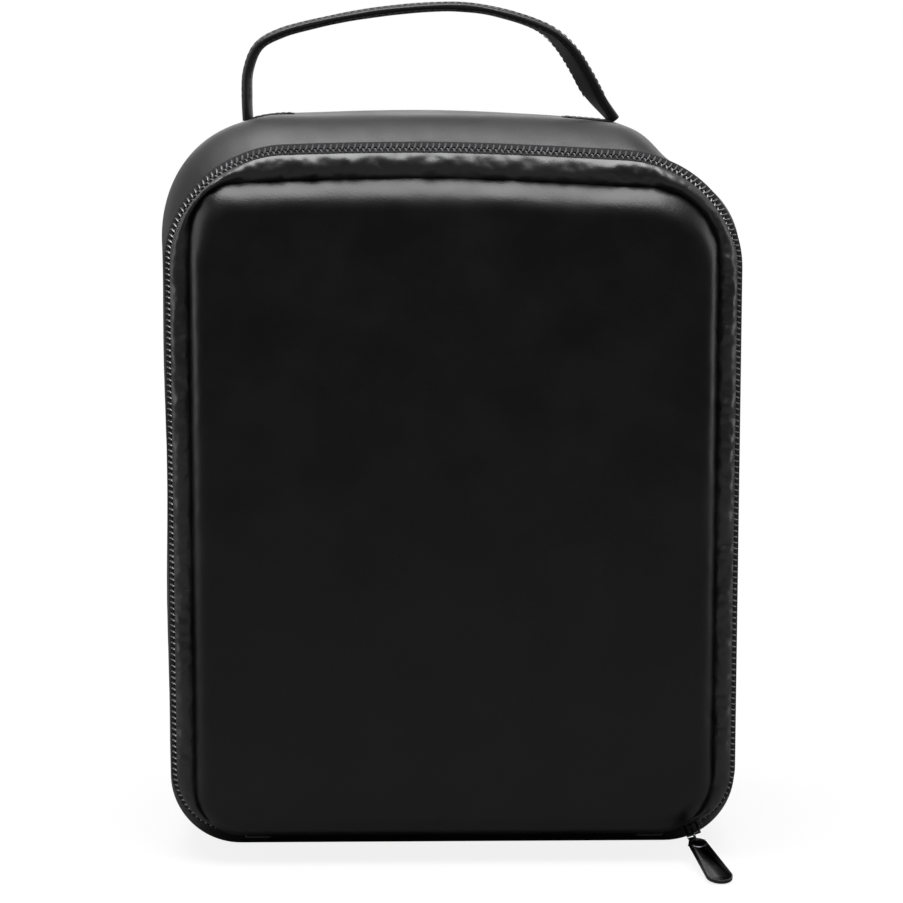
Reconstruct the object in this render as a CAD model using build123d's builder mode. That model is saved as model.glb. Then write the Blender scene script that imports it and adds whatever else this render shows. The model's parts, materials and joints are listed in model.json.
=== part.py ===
from build123d import *
import os
from math import cos, radians, sin, sqrt

os.makedirs("parts", exist_ok=True)

# A soft shoe bag whose front is a zipped door. Millimetres, +Z up, the door faces -Y, +X is to the right of
# someone who looks at the door. The origin is on the floor, at the middle of the flat of the base.

# --- Driving dimensions: the zip's outline, seen from the front ---------------------------------------------
zip_width = 271.0
zip_height = 331.0
zip_rise = 12.0  # floor to the lowest line of the zip's outline
top_radius = 60.0
base_radius = 32.0

# --- The box behind it ----------------------------------------------------------------------------------------
front_edge = -60.5  # where the gusset's leather ends, behind the zip
back_edge = 68.5  # where it meets the back panel
flat_half = 34.0  # the base is flat this far to the front and to the back
shoulder_run = 12.0  # depth of the first, steep part of the swelling
side_swell = 5.5  # the gusset stands this far outside the zip's outline at mid-depth
top_swell = 12.0
edge_inset = 1.0  # the gusset's edges lie this far inside the zip's outline
shoulder_share = 0.6  # share of the swelling that is reached at the shoulder

# --- Layers ---------------------------------------------------------------------------------------------------
leather = 1.2
foam = 4.0
lining = 0.5
board = 2.0
layer_gap = 0.1  # between layers that are sewn together
part_gap = 0.3  # between pieces that lie edge to edge
binding_width = 9.0
binding = 1.2
piping_radius = 1.9

# --- Zip ------------------------------------------------------------------------------------------------------
chain_inset = 2.9  # middle of the chain, in from the outline
chain_front = 66.2  # and in front of mid-depth
chain_half = 2.9  # half the width of the closed chain
chain_slot = 0.8  # half the slot that the slider's post runs in
chain_half_thick = 1.1
tape = 0.5
tape_flat = 4.2  # the tape lies flat this far from the chain's middle
tape_hidden = 14.0  # the door's tape reaches this far in from the outline
chain_end_angle = 13.0  # the chain stops short of the lowest point of each lower corner by this angle
stop_angle = 3.0
chain_start_rise = 1.0  # the door's chain starts this far above the lower right corner's middle

# --- Door -----------------------------------------------------------------------------------------------------
door_back = 66.4  # the inner face of the door's lining, in front of mid-depth
door_board = 1.6
board_inset = 8.0
panel_inset = 11.5  # the puffed panel's sides, in from the outline
panel_top_inset = 20.0
panel_base_inset = 4.0
panel_top_radius = 30.0
panel_base_radius = 26.0
panel_seat = 69.5  # where the panel's edge is sewn down
panel_front = 81.0
panel_edge_radius = 10.5
border_inset = 6.0
border = 1.5
border_cut = 12.0  # the border strip ends this far above the panel's lower edge
hinge_front = 69.0  # the hinge's line, in front of mid-depth
hinge_rise = 0.5  # and above the zip's lowest line
hinge_half = 90.0
hinge_cloth = 0.8
end_tab_beside = 4.0  # the middle of each zip end tab lies this far beyond the hinge strip's end
end_tab_behind = 3.0  # and this far in front of the gusset's edge
end_tab_size = (13.0, 8.0, 1.6)
end_tab_radius = 2.0

# --- Slider and pull ------------------------------------------------------------------------------------------
slider_angle = -70.0  # place of the slider round the lower right corner, from +X
slider_half_angle = 10.0
slider_plate = 1.0
slider_clear = 0.25
slider_outer_half = 4.0
slider_inner_half = 3.6
post_half = 0.5
post_angle = 4.0
bridge_half_width = 0.8
bridge_half_length = 3.6
bridge_wall = 1.2
bridge_room = 3.2  # clear height under the bridge
link_wire = 1.2
link_hole = 5.0  # width of the link's opening
link_straight = 2.5  # length of its two straight sides
link_slack = 0.4  # between the bridge and the link's wire under it
link_lean = 20.0  # the link leans this far from the slider's face towards the door
pull_reach = 33.0  # from the link's wire to the centre of the pull's round end
pull_thick = 1.7
pull_tip_radius = 6.3
pull_eye_radius = 3.0
pull_eye_wall = 1.5
pull_slack = 0.8  # between the link's wire and the eye it hangs in
pull_aside = 13.0  # the pull points this far aside from straight ahead
pull_drop = 12.5  # and this far down

# --- Handle ---------------------------------------------------------------------------------------------------
handle_left = -101.0
handle_right = 80.0
# each bend of the strap: across, above the top of the bag, and its radius
handle_bends = [(-99.0, 33.0, 16.0), (-40.0, 47.5, 60.0), (15.0, 47.5, 60.0), (52.0, 36.0, 25.0)]
handle_width = 24.0
handle_thick = 4.0
webbing_width = 20.0
webbing_thick = 1.6
webbing_gap = 0.1
foot_half = 0.6  # the strap runs out to this half width where it folds into its tab
foot_rise = 1.3  # and starts this far above the tab
foot_run = 40.0  # the form that trims the feet reaches this far beyond the left one
tab_length = 24.0
tab_thick = 2.2
patch_margin = 4.0
patch_thick = 1.0

# --- Places worked out from them ------------------------------------------------------------------------------
half_width = zip_width / 2
zip_top = zip_rise + zip_height
top_corner = (half_width - top_radius, zip_top - top_radius)
base_corner = (half_width - base_radius, zip_rise + base_radius)
diagonal = sqrt(0.5)
far = 400.0


def facing(depth):
    """The plane across the bag at a depth: local x is +X, local y is +Z, and it looks to the front."""
    return Plane.XZ.offset(-depth)


def outline(side, top, base, upper_radius, lower_radius):
    """A closed outline in the open sketch, standing side, top and base outside the zip's outline."""
    half = half_width + side
    low = zip_rise - base
    high = zip_top + top
    with BuildLine() as edge:
        FilletPolyline(
            (-half, low), (half, low), (half, high), (-half, high),
            radius=[lower_radius, lower_radius, upper_radius, upper_radius], close=True,
        )
    make_face(edge.edges())


def swollen_form(inset):
    """The soft box between its two edges, drawn in by inset all round."""
    stations = [
        (front_edge, 0.0),
        (front_edge + shoulder_run, shoulder_share),
        (-flat_half, 1.0),
        (flat_half, 1.0),
        (back_edge - shoulder_run, shoulder_share),
        (back_edge, 0.0),
    ]
    with BuildPart() as form:
        for depth, share in stations:
            side = share * (side_swell + edge_inset) - edge_inset - inset
            top = share * (top_swell + edge_inset) - edge_inset - inset
            base = share * (zip_rise + edge_inset) - edge_inset - inset
            with BuildSketch(facing(depth)):
                outline(side, top, base, top_radius + side, base_radius + side)
        loft(ruled=True)
    return form.part


def flat_form(inset, front, back):
    """A plate with the zip's outline drawn in by inset, between two distances in front of mid-depth."""
    with BuildPart() as form:
        with BuildSketch(facing(-back)):
            outline(-inset, -inset, -inset, top_radius - inset, base_radius - inset)
        extrude(amount=front - back)
    return form.part


def block(x_low, x_high, y_low, y_high, z_low, z_high):
    """A plain block between its limits, for cutting."""
    with BuildPart() as form:
        with Locations(((x_low + x_high) / 2, (y_low + y_high) / 2, (z_low + z_high) / 2)):
            Box(x_high - x_low, y_high - y_low, z_high - z_low)
    return form.part


def finish(piece, name):
    """Label the piece and write it out."""
    piece.part.label = name
    export_step(piece.part, "parts/" + name + ".step")


# --- Bag: gusset and base -------------------------------------------------------------------------------------
outer_form = swollen_form(0.0)
under_leather = swollen_form(leather)
over_foam = swollen_form(leather + layer_gap)
under_foam = swollen_form(leather + layer_gap + foam)
over_lining = swollen_form(leather + 2 * layer_gap + foam)
lining_depth = leather + 2 * layer_gap + foam + lining
under_lining = swollen_form(lining_depth)
inner_form = swollen_form(lining_depth + layer_gap)

base_seam = base_corner[0]
base_region = block(-base_seam, base_seam, -far, far, -far, base_corner[1])
upper_region_cut = block(-base_seam - part_gap, base_seam + part_gap, -far, far, -far, base_corner[1])

with BuildPart() as upper_gusset:
    add(outer_form)
    add(under_leather, mode=Mode.SUBTRACT)
    add(upper_region_cut, mode=Mode.SUBTRACT)
finish(upper_gusset, "upper_gusset")

with BuildPart() as base_panel:
    add(outer_form)
    add(under_leather, mode=Mode.SUBTRACT)
    add(base_region, mode=Mode.INTERSECT)
finish(base_panel, "base_panel")

with BuildPart() as gusset_foam:
    add(over_foam)
    add(under_foam, mode=Mode.SUBTRACT)
    add(upper_region_cut, mode=Mode.SUBTRACT)
finish(gusset_foam, "gusset_foam")

with BuildPart() as base_foam:
    add(over_foam)
    add(under_foam, mode=Mode.SUBTRACT)
    add(base_region, mode=Mode.INTERSECT)
finish(base_foam, "base_foam")

with BuildPart() as body_lining:
    add(over_lining)
    add(under_lining, mode=Mode.SUBTRACT)
finish(body_lining, "body_lining")

with BuildPart() as base_board:
    with Locations((0, 0, lining_depth + layer_gap + board / 2)):
        Box(2 * (base_seam - part_gap), 2 * (flat_half - part_gap), board)
finish(base_board, "base_board")

# --- Bag: seam bindings inside, front and back ----------------------------------------------------------------
binding_core = swollen_form(lining_depth + layer_gap + binding)

with BuildPart() as front_binding:
    add(inner_form)
    add(binding_core, mode=Mode.SUBTRACT)
    add(block(-far, far, front_edge, front_edge + binding_width, -far, far), mode=Mode.INTERSECT)
finish(front_binding, "front_binding")

with BuildPart() as back_binding:
    add(inner_form)
    add(binding_core, mode=Mode.SUBTRACT)
    add(block(-far, far, back_edge - binding_width, back_edge, -far, far), mode=Mode.INTERSECT)
finish(back_binding, "back_binding")

# --- Bag: back ------------------------------------------------------------------------------------------------
back_inset = edge_inset + piping_radius + part_gap
lining_face = -back_edge - layer_gap
foam_face = lining_face - lining - layer_gap
board_face = foam_face - foam - layer_gap
panel_face = board_face - board - layer_gap

for name, face, thickness in (
    ("back_lining", lining_face, lining),
    ("back_foam", foam_face, foam),
    ("back_board", board_face, board),
    ("back_panel", panel_face, leather),
):
    with BuildPart() as back_layer:
        add(flat_form(back_inset, face, face - thickness))
    finish(back_layer, name)

piping_depth = back_edge + piping_radius + layer_gap
with BuildPart() as back_piping:
    with BuildLine(facing(piping_depth)) as piping_line:
        FilletPolyline(
            (0, zip_rise + edge_inset), (half_width - edge_inset, zip_rise + edge_inset),
            (half_width - edge_inset, zip_top - edge_inset), (edge_inset - half_width, zip_top - edge_inset),
            (edge_inset - half_width, zip_rise + edge_inset), (-layer_gap, zip_rise + edge_inset),
            radius=[base_radius - edge_inset, top_radius - edge_inset, top_radius - edge_inset,
                    base_radius - edge_inset],
        )
    with BuildSketch(Plane(origin=(0, piping_depth, zip_rise + edge_inset), z_dir=(1, 0, 0))):
        Circle(piping_radius)
    sweep(path=piping_line.wires()[0])
finish(back_piping, "back_piping")


# --- Zip ------------------------------------------------------------------------------------------------------
def corner_plane(angle):
    """The plane through the axis of the lower right corner: local x is outwards, local y to the front."""
    out = (cos(radians(angle)), 0, sin(radians(angle)))
    return Plane(origin=(base_corner[0], 0, base_corner[1]), x_dir=out, z_dir=(out[2], 0, -out[0]))


def across(toward_body, out_of_face):
    """A point of the zip's section, from the chain's middle, in the corner's plane."""
    return (
        base_radius - chain_inset + (toward_body + out_of_face) * diagonal,
        chain_front + (out_of_face - toward_body) * diagonal,
    )


def slab(body_side, door_side, low, high):
    """A four-sided face of the zip's section in the open sketch."""
    with BuildLine() as edge:
        Polyline(
            across(body_side, low), across(body_side, high), across(door_side, high), across(door_side, low),
            close=True,
        )
    make_face(edge.edges())


def zip_path(short):
    """The zip's outline from the lower right corner over the top to the lower left one."""
    with BuildLine(facing(0)) as path:
        CenterArc(base_corner, base_radius, short - 90, 90 - short)
        Line((half_width, base_corner[1]), (half_width, top_corner[1]))
        CenterArc(top_corner, top_radius, 0, 90)
        Line((top_corner[0], zip_top), (-top_corner[0], zip_top))
        CenterArc((-top_corner[0], top_corner[1]), top_radius, 90, 90)
        Line((-half_width, top_corner[1]), (-half_width, base_corner[1]))
        CenterArc((-base_corner[0], base_corner[1]), base_radius, 180, 90 - short)
    return path.wires()[0]


tape_line = zip_path(0)
chain_line = zip_path(chain_end_angle)

with BuildPart() as body_zip_teeth:
    with BuildSketch(corner_plane(chain_end_angle - 90)):
        slab(chain_half, chain_slot, -chain_half_thick, chain_half_thick)
    sweep(path=chain_line)
finish(body_zip_teeth, "body_zip_teeth")

# The slider's corner is left free of the door's chain, so that the door can swing out past the slider.
with BuildPart() as door_zip_teeth:
    with BuildSketch(corner_plane(chain_end_angle - 90)):
        slab(-chain_slot, -chain_half, -chain_half_thick, chain_half_thick)
    sweep(path=chain_line)
    add(block(base_corner[0], far, -far, far, -far, base_corner[1] + chain_start_rise), mode=Mode.SUBTRACT)
finish(door_zip_teeth, "door_zip_teeth")

tape_start = chain_half + layer_gap
edge_middle = base_radius - edge_inset - leather / 2
with BuildPart() as body_zip_tape:
    with BuildSketch(corner_plane(-90)):
        with BuildLine() as body_tape_line:
            Polyline(
                across(tape_start, 0), across(tape_flat, 0), (edge_middle, -front_edge + tape / 2 + layer_gap)
            )
        trace(body_tape_line.line, tape)
    sweep(path=tape_line)
finish(body_zip_tape, "body_zip_tape")

with BuildPart() as door_zip_tape:
    with BuildSketch(corner_plane(-90)):
        with BuildLine() as door_tape_line:
            Polyline(
                across(-tape_start, 0), across(-tape_flat, 0),
                (base_radius - tape_hidden, across(-tape_flat, 0)[1]),
            )
        trace(door_tape_line.line, tape)
    sweep(path=tape_line)
finish(door_zip_tape, "door_zip_tape")


def mirrored_pair(solid):
    """The solid and its mirror image on the other side of the bag."""
    with BuildPart() as pair:
        add(solid)
        mirror(about=Plane.YZ)
    return pair.part


corner_axis = Axis((base_corner[0], 0, base_corner[1]), (0, -1, 0))
with BuildPart() as one_stop:
    with BuildSketch(corner_plane(-90)):
        slab(chain_half, chain_slot, -chain_half_thick, chain_half_thick)
    revolve(axis=corner_axis, revolution_arc=stop_angle)
with BuildPart() as zip_stops:
    add(mirrored_pair(one_stop.part))
finish(zip_stops, "zip_stops")

# --- Hinge of cloth under the door ----------------------------------------------------------------------------
hinge_z = zip_rise + hinge_rise
strip_middle = zip_rise + edge_inset + leather / 2
with BuildPart() as hinge_strip_base:
    with BuildSketch(Plane.YZ.offset(-hinge_half)):
        with BuildLine() as strip_line:
            Line((front_edge - layer_gap, strip_middle), (-hinge_front + part_gap, hinge_z))
        trace(strip_line.line, hinge_cloth)
    extrude(amount=2 * hinge_half)
finish(hinge_strip_base, "hinge_strip_base")

panel_low = zip_rise + panel_base_inset
with BuildPart() as hinge_strip_door:
    with BuildSketch(Plane.YZ.offset(-hinge_half)):
        with BuildLine() as flap_line:
            Line(
                (-hinge_front - part_gap - hinge_cloth / 2, hinge_z),
                (-panel_seat - hinge_cloth, panel_low - part_gap),
            )
        trace(flap_line.line, hinge_cloth)
    extrude(amount=2 * hinge_half)
finish(hinge_strip_door, "hinge_strip_door")

tab_top = hinge_z - hinge_cloth / 2 - layer_gap
with BuildPart() as one_tab:
    with Locations((hinge_half + end_tab_beside, front_edge - end_tab_behind, tab_top - end_tab_size[2] / 2)):
        Box(*end_tab_size)
    fillet(one_tab.edges().filter_by(Axis.Z), end_tab_radius)
with BuildPart() as zip_end_tabs:
    add(mirrored_pair(one_tab.part))
finish(zip_end_tabs, "zip_end_tabs")

# --- Door -----------------------------------------------------------------------------------------------------
lining_front = door_back + lining
board_front = lining_front + layer_gap + door_board
with BuildPart() as door_lining:
    add(flat_form(board_inset, lining_front, door_back))
finish(door_lining, "door_lining")

with BuildPart() as door_board_plate:
    add(flat_form(board_inset, board_front, lining_front + layer_gap))
finish(door_board_plate, "door_board")


def puffed_form(inset, front):
    """The front panel's cushion, drawn in by inset, from its seat to a distance in front of mid-depth."""
    with BuildPart() as form:
        with BuildSketch(facing(-panel_seat)):
            outline(
                -panel_inset - inset, -panel_top_inset - inset, -panel_base_inset - inset,
                panel_top_radius - inset, panel_base_radius - inset,
            )
        extrude(amount=front - panel_seat)
        fillet(form.faces().sort_by(Axis.Y)[0].edges(), panel_edge_radius - inset)
    return form.part


cushion = puffed_form(0.0, panel_front)
cushion_foam = puffed_form(leather + layer_gap, panel_front - leather - layer_gap)
with BuildPart() as door_panel:
    add(cushion)
    add(puffed_form(leather, panel_front - leather), mode=Mode.SUBTRACT)
finish(door_panel, "door_panel")

with BuildPart() as door_foam:
    add(cushion_foam)
finish(door_foam, "door_foam")

with BuildPart() as panel_clearance:
    with BuildSketch(facing(-panel_seat)):
        outline(
            part_gap - panel_inset, part_gap - panel_top_inset, part_gap - panel_base_inset,
            panel_top_radius + part_gap, panel_base_radius + part_gap,
        )
    extrude(amount=2 * border)
with BuildPart() as door_border:
    add(flat_form(border_inset, panel_seat + border, panel_seat))
    add(panel_clearance.part, mode=Mode.SUBTRACT)
    add(block(-far, far, -far, far, -far, panel_low + border_cut), mode=Mode.SUBTRACT)
finish(door_border, "door_border")

# --- Slider ---------------------------------------------------------------------------------------------------
plate_low = chain_half_thick + slider_clear
plate_high = plate_low + slider_plate
with BuildPart() as zip_slider:
    with BuildSketch(corner_plane(slider_angle - slider_half_angle)):
        slab(slider_outer_half, -slider_outer_half, plate_low, plate_high)
        slab(slider_inner_half, -slider_inner_half, -plate_high, -plate_low)
    revolve(axis=corner_axis, revolution_arc=2 * slider_half_angle)
    with BuildSketch(corner_plane(slider_angle - slider_half_angle)):
        slab(post_half, -post_half, -plate_high, plate_high)
    revolve(axis=corner_axis, revolution_arc=post_angle)
finish(zip_slider, "zip_slider")

out_x = cos(radians(slider_angle))
out_z = sin(radians(slider_angle))
slider_x = base_corner[0] + (base_radius - chain_inset) * out_x
slider_z = base_corner[1] + (base_radius - chain_inset) * out_z
along_slider = Plane(
    origin=(slider_x, -chain_front, slider_z),
    x_dir=(-out_z, 0, out_x),
    z_dir=(out_x * diagonal, diagonal, out_z * diagonal),
)
with BuildPart() as slider_bridge:
    with BuildSketch(along_slider):
        with Locations((0, plate_high + layer_gap + (bridge_room + bridge_wall) / 2)):
            Rectangle(2 * bridge_half_length, bridge_room + bridge_wall)
        with Locations((0, plate_high + layer_gap + bridge_room / 2)):
            Rectangle(2 * (bridge_half_length - bridge_wall), bridge_room, mode=Mode.SUBTRACT)
    extrude(amount=bridge_half_width, both=True)
finish(slider_bridge, "slider_bridge")

# --- Link and pull --------------------------------------------------------------------------------------------
bridge_middle = plate_high + layer_gap + bridge_room + bridge_wall / 2
across_slider = Plane(
    origin=along_slider.from_local_coords((0, bridge_middle, 0)),
    x_dir=along_slider.y_dir * cos(radians(link_lean)) - along_slider.z_dir * sin(radians(link_lean)),
    z_dir=along_slider.x_dir,
)
link_bend = (link_hole + link_wire) / 2
link_start = link_bend - bridge_wall / 2 - link_wire - link_slack
with BuildPart() as pull_link:
    with BuildSketch(across_slider):
        with Locations((link_start + link_straight / 2, 0)):
            SlotCenterToCenter(link_straight, link_hole + 2 * link_wire)
            SlotCenterToCenter(link_straight, link_hole, mode=Mode.SUBTRACT)
    extrude(amount=link_wire / 2, both=True)
finish(pull_link, "pull_link")

ahead = cos(radians(pull_drop))
pull_way = Vector(
    sin(radians(pull_aside)) * ahead, -cos(radians(pull_aside)) * ahead, -sin(radians(pull_drop))
)
pull_across = Vector(cos(radians(pull_aside)), sin(radians(pull_aside)), 0)
pull_pivot = across_slider.from_local_coords((link_start + link_straight + link_bend, 0, 0))
eye_centre = pull_eye_radius - link_wire / 2 - pull_slack
with BuildPart() as zip_pull:
    with BuildSketch(Plane(origin=pull_pivot, x_dir=pull_way, z_dir=pull_way.cross(pull_across))):
        with Locations((eye_centre, 0)):
            Circle(pull_eye_radius + pull_eye_wall)
        with Locations((pull_reach, 0)):
            Circle(pull_tip_radius)
        make_hull()
        with Locations((eye_centre, 0)):
            Circle(pull_eye_radius, mode=Mode.SUBTRACT)
    extrude(amount=pull_thick / 2, both=True)
finish(zip_pull, "zip_pull")

# --- Handle ---------------------------------------------------------------------------------------------------
crest = zip_top + top_swell
shoulder_radius = top_radius + side_swell


def top_at(across_x):
    """Height of the bag's top at mid-depth, which drops off round the upper corners."""
    beyond = max(0.0, abs(across_x) - top_corner[0])
    return crest - shoulder_radius + sqrt(shoulder_radius**2 - beyond**2)


fold_rise = layer_gap + tab_thick
left_fold = Vector(handle_left, 0, top_at(handle_left) + fold_rise)
right_fold = Vector(handle_right, 0, top_at(handle_right) + fold_rise)
strap_points = [(left_fold.X, left_fold.Z)]
strap_points += [(bend[0], crest + bend[1]) for bend in handle_bends]
strap_points += [(right_fold.X, right_fold.Z)]

with BuildLine() as strap_line:
    FilletPolyline(*strap_points, radius=[bend[2] for bend in handle_bends])


def strap_form(thickness, width):
    """The strap's loop as a band of one thickness and width."""
    with BuildPart() as form:
        with BuildSketch(Plane.XZ):
            trace(strap_line.edges(), thickness)
        extrude(amount=width / 2, both=True)
    return form.part


fold_line = (right_fold - left_fold).normalized()
foot_plane = Plane(origin=left_fold - fold_line * foot_run, x_dir=(0, 1, 0), z_dir=fold_line)
taper = handle_width / 2 - foot_half
with BuildPart() as foot_limits:
    with BuildSketch(foot_plane):
        with BuildLine():
            Polyline(
                (-foot_half, foot_rise), (foot_half, foot_rise), (foot_half + taper, foot_rise + taper),
                (foot_half + taper, far), (-foot_half - taper, far), (-foot_half - taper, foot_rise + taper),
                close=True,
            )
        make_face()
    extrude(amount=far)

with BuildPart() as handle_cover:
    add(strap_form(handle_thick, handle_width))
    add(strap_form(webbing_thick + 2 * webbing_gap, webbing_width + 2 * webbing_gap), mode=Mode.SUBTRACT)
    add(foot_limits.part, mode=Mode.INTERSECT)
finish(handle_cover, "handle_cover")

with BuildPart() as handle_webbing:
    add(strap_form(webbing_thick, webbing_width))
    add(foot_limits.part, mode=Mode.INTERSECT)
finish(handle_webbing, "handle_webbing")

under_tab = swollen_form(-layer_gap)
tab_form = swollen_form(-fold_rise)
half_strap = handle_width / 2
first_bend = Vector(strap_points[1][0], 0, strap_points[1][1])
last_bend = Vector(strap_points[-2][0], 0, strap_points[-2][1])
left_start = handle_left + handle_thick / 2 / (first_bend - left_fold).normalized().Z + part_gap
right_start = handle_right - handle_thick / 2 / (last_bend - right_fold).normalized().Z - part_gap
with BuildPart() as handle_tabs:
    add(tab_form)
    add(under_tab, mode=Mode.SUBTRACT)
    add(
        block(left_start, left_start + tab_length, -half_strap, half_strap, zip_top, far)
        + block(right_start - tab_length, right_start, -half_strap, half_strap, zip_top, far),
        mode=Mode.INTERSECT,
    )
finish(handle_tabs, "handle_tabs")

patch_half = half_strap + patch_margin
with BuildPart() as handle_patches:
    add(inner_form)
    add(swollen_form(lining_depth + layer_gap + patch_thick), mode=Mode.SUBTRACT)
    add(
        block(
            handle_left - patch_margin, handle_left + tab_length + patch_margin,
            -patch_half, patch_half, top_corner[1], far,
        )
        + block(
            handle_right - tab_length - patch_margin, handle_right + patch_margin,
            -patch_half, patch_half, top_corner[1], far,
        ),
        mode=Mode.INTERSECT,
    )
finish(handle_patches, "handle_patches")

print("link's axis, through the bridge:", across_slider.origin, "along:", across_slider.z_dir)
print("pull pivot:", pull_pivot, "axis:", pull_way.cross(pull_across))
print("handle folds:", left_fold, right_fold)
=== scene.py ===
# %% [markdown]
# # A soft golf shoe bag
# The bag is a padded box whose front is a zipped door, with a strap on top. The frame holds every part's exact
# place. This lesson builds the soft and the fine parts around it, all in metres.

# %% Load the frame
import json
import math

import bpy
import numpy as np
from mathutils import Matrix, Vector, noise

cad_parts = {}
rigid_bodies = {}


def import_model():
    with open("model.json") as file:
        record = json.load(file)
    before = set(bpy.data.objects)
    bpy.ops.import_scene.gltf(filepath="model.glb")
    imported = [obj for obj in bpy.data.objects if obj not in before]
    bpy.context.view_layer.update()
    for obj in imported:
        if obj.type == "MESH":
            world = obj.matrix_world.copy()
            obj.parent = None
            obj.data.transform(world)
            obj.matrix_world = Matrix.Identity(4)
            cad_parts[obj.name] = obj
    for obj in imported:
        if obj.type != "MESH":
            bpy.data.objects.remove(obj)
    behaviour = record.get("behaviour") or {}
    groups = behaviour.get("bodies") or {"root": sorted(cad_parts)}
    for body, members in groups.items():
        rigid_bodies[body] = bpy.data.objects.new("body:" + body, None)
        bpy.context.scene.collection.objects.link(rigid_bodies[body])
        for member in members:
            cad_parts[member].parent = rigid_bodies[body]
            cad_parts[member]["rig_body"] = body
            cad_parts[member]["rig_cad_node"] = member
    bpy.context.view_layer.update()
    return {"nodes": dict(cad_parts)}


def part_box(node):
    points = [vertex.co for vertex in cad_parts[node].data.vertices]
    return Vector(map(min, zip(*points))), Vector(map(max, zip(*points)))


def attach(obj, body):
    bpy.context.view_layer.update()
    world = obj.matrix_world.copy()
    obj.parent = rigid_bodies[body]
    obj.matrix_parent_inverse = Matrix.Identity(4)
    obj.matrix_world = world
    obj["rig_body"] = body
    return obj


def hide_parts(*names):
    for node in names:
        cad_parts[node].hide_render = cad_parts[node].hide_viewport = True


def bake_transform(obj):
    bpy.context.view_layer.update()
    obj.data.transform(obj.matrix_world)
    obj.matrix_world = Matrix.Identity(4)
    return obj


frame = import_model()
print("parts of the frame:", len(frame["nodes"]))

# %% [markdown]
# Sizes come from the frame's own boxes, so the leather lands where the pattern says. Only the radii of the
# corners and the small seam allowances are written as numbers.

# %% Sizes
mm = 0.001
gusset_low, gusset_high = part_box("upper_gusset")
panel_low, panel_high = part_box("door_panel")
side_swell = 5.5 * mm
top_swell = 12 * mm
edge_inset = 1 * mm
zip_half = gusset_high.x - side_swell
zip_top = gusset_high.z - top_swell
zip_rise = 12 * mm
top_radius = 56 * mm
base_radius = 32 * mm
front_edge = gusset_low.y
back_edge = gusset_high.y
leather = 1.2 * mm
padding = 4 * mm
lining = 0.5 * mm
layer_gap = 0.1 * mm
quarter_turn = math.pi / 2
upright = zip_top - zip_rise - top_radius - base_radius
print("zip outline:", round(2 * zip_half, 4), "wide, top at", round(zip_top, 4))

# %% [markdown]
# Everything soft on this bag is a sheet that follows a rounded rectangle. A helper walks round such an outline
# from the lower left corner, up, over the top and down to the lower right corner, and on along the base when the
# outline is closed. Walking that way round, a sheet's face looks outwards.


# %% Walk round a rounded rectangle
def rounded(walk, half, low, high, radii, closed=False):
    """Points (x, z) and outward directions at walk 0 to 1. radii: lower left, upper left, upper right, lower right."""
    walk = np.asarray(walk, float)
    half, low, high = (np.broadcast_to(a, walk.shape).astype(float) for a in (half, low, high))
    r_ll, r_ul, r_ur, r_lr = (np.broadcast_to(r, walk.shape).astype(float) for r in radii)
    nominal = [
        base_radius * quarter_turn, upright, top_radius * quarter_turn, 2 * (zip_half - top_radius),
        top_radius * quarter_turn, upright, base_radius * quarter_turn,
    ]
    if closed:
        nominal.append(2 * (zip_half - base_radius))
    ends = np.cumsum([0] + nominal)
    along = np.clip(walk, 0, 1) * ends[-1]
    x, z = np.zeros_like(walk), np.zeros_like(walk)
    turn = np.zeros_like(walk)
    corners = {
        0: (-half + r_ll, low + r_ll, r_ll, 270), 2: (-half + r_ul, high - r_ul, r_ul, 180),
        4: (half - r_ur, high - r_ur, r_ur, 90), 6: (half - r_lr, low + r_lr, r_lr, 0),
    }
    straights = {
        1: (-half, low + r_ll, -half, high - r_ul, 180), 3: (-half + r_ul, high, half - r_ur, high, 90),
        5: (half, high - r_ur, half, low + r_lr, 0), 7: (half - r_lr, low, -half + r_ll, low, -90),
    }
    for part in range(len(nominal)):
        last = part == len(nominal) - 1
        here = (along >= ends[part]) & ((along < ends[part + 1]) | last)
        share = np.clip((along - ends[part]) / nominal[part], 0, 1)
        if part in corners:
            cx, cz, radius, start = corners[part]
            angle = np.radians(start) - share * quarter_turn
            x = np.where(here, cx + radius * np.cos(angle), x)
            z = np.where(here, cz + radius * np.sin(angle), z)
            turn = np.where(here, angle, turn)
        else:
            x0, z0, x1, z1, facing = straights[part]
            x = np.where(here, x0 + (x1 - x0) * share, x)
            z = np.where(here, z0 + (z1 - z0) * share, z)
            turn = np.where(here, np.radians(facing), turn)
    return x, z, np.cos(turn), np.sin(turn)


def walk_length(closed=False):
    """Length of the zip's outline that the walk covers."""
    corners = 2 * base_radius * quarter_turn + 2 * top_radius * quarter_turn
    length = corners + 2 * upright + 2 * (zip_half - top_radius)
    return length + (2 * (zip_half - base_radius) if closed else 0)


def corner_radii(inset):
    """The outline's corner radii, drawn in: lower left, upper left, upper right, lower right."""
    lower, upper = base_radius - inset, top_radius - inset
    return lower, upper, upper, lower


def outline(walk, inset, closed=False):
    """The zip's outline, drawn in by inset."""
    return rounded(walk, zip_half - inset, zip_rise + inset, zip_top - inset, corner_radii(inset), closed)


print("zip outline's length:", round(walk_length(), 4))

# %% [markdown]
# A bag like this is never square. Its upper right corner has sunk a little, its top droops towards both corners,
# and behind the zip the padded wall has fallen in at the right. Two helpers say how far, and each layer uses them,
# so that no layer comes through another. A third gives soft noise for the lumps and puckers.


# %% How the bag has settled
def ease(value):
    value = np.clip(value, 0, 1)
    return value * value * (3 - 2 * value)


right_drop = 2.6 * mm
corner_droop = 2.2 * mm


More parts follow.
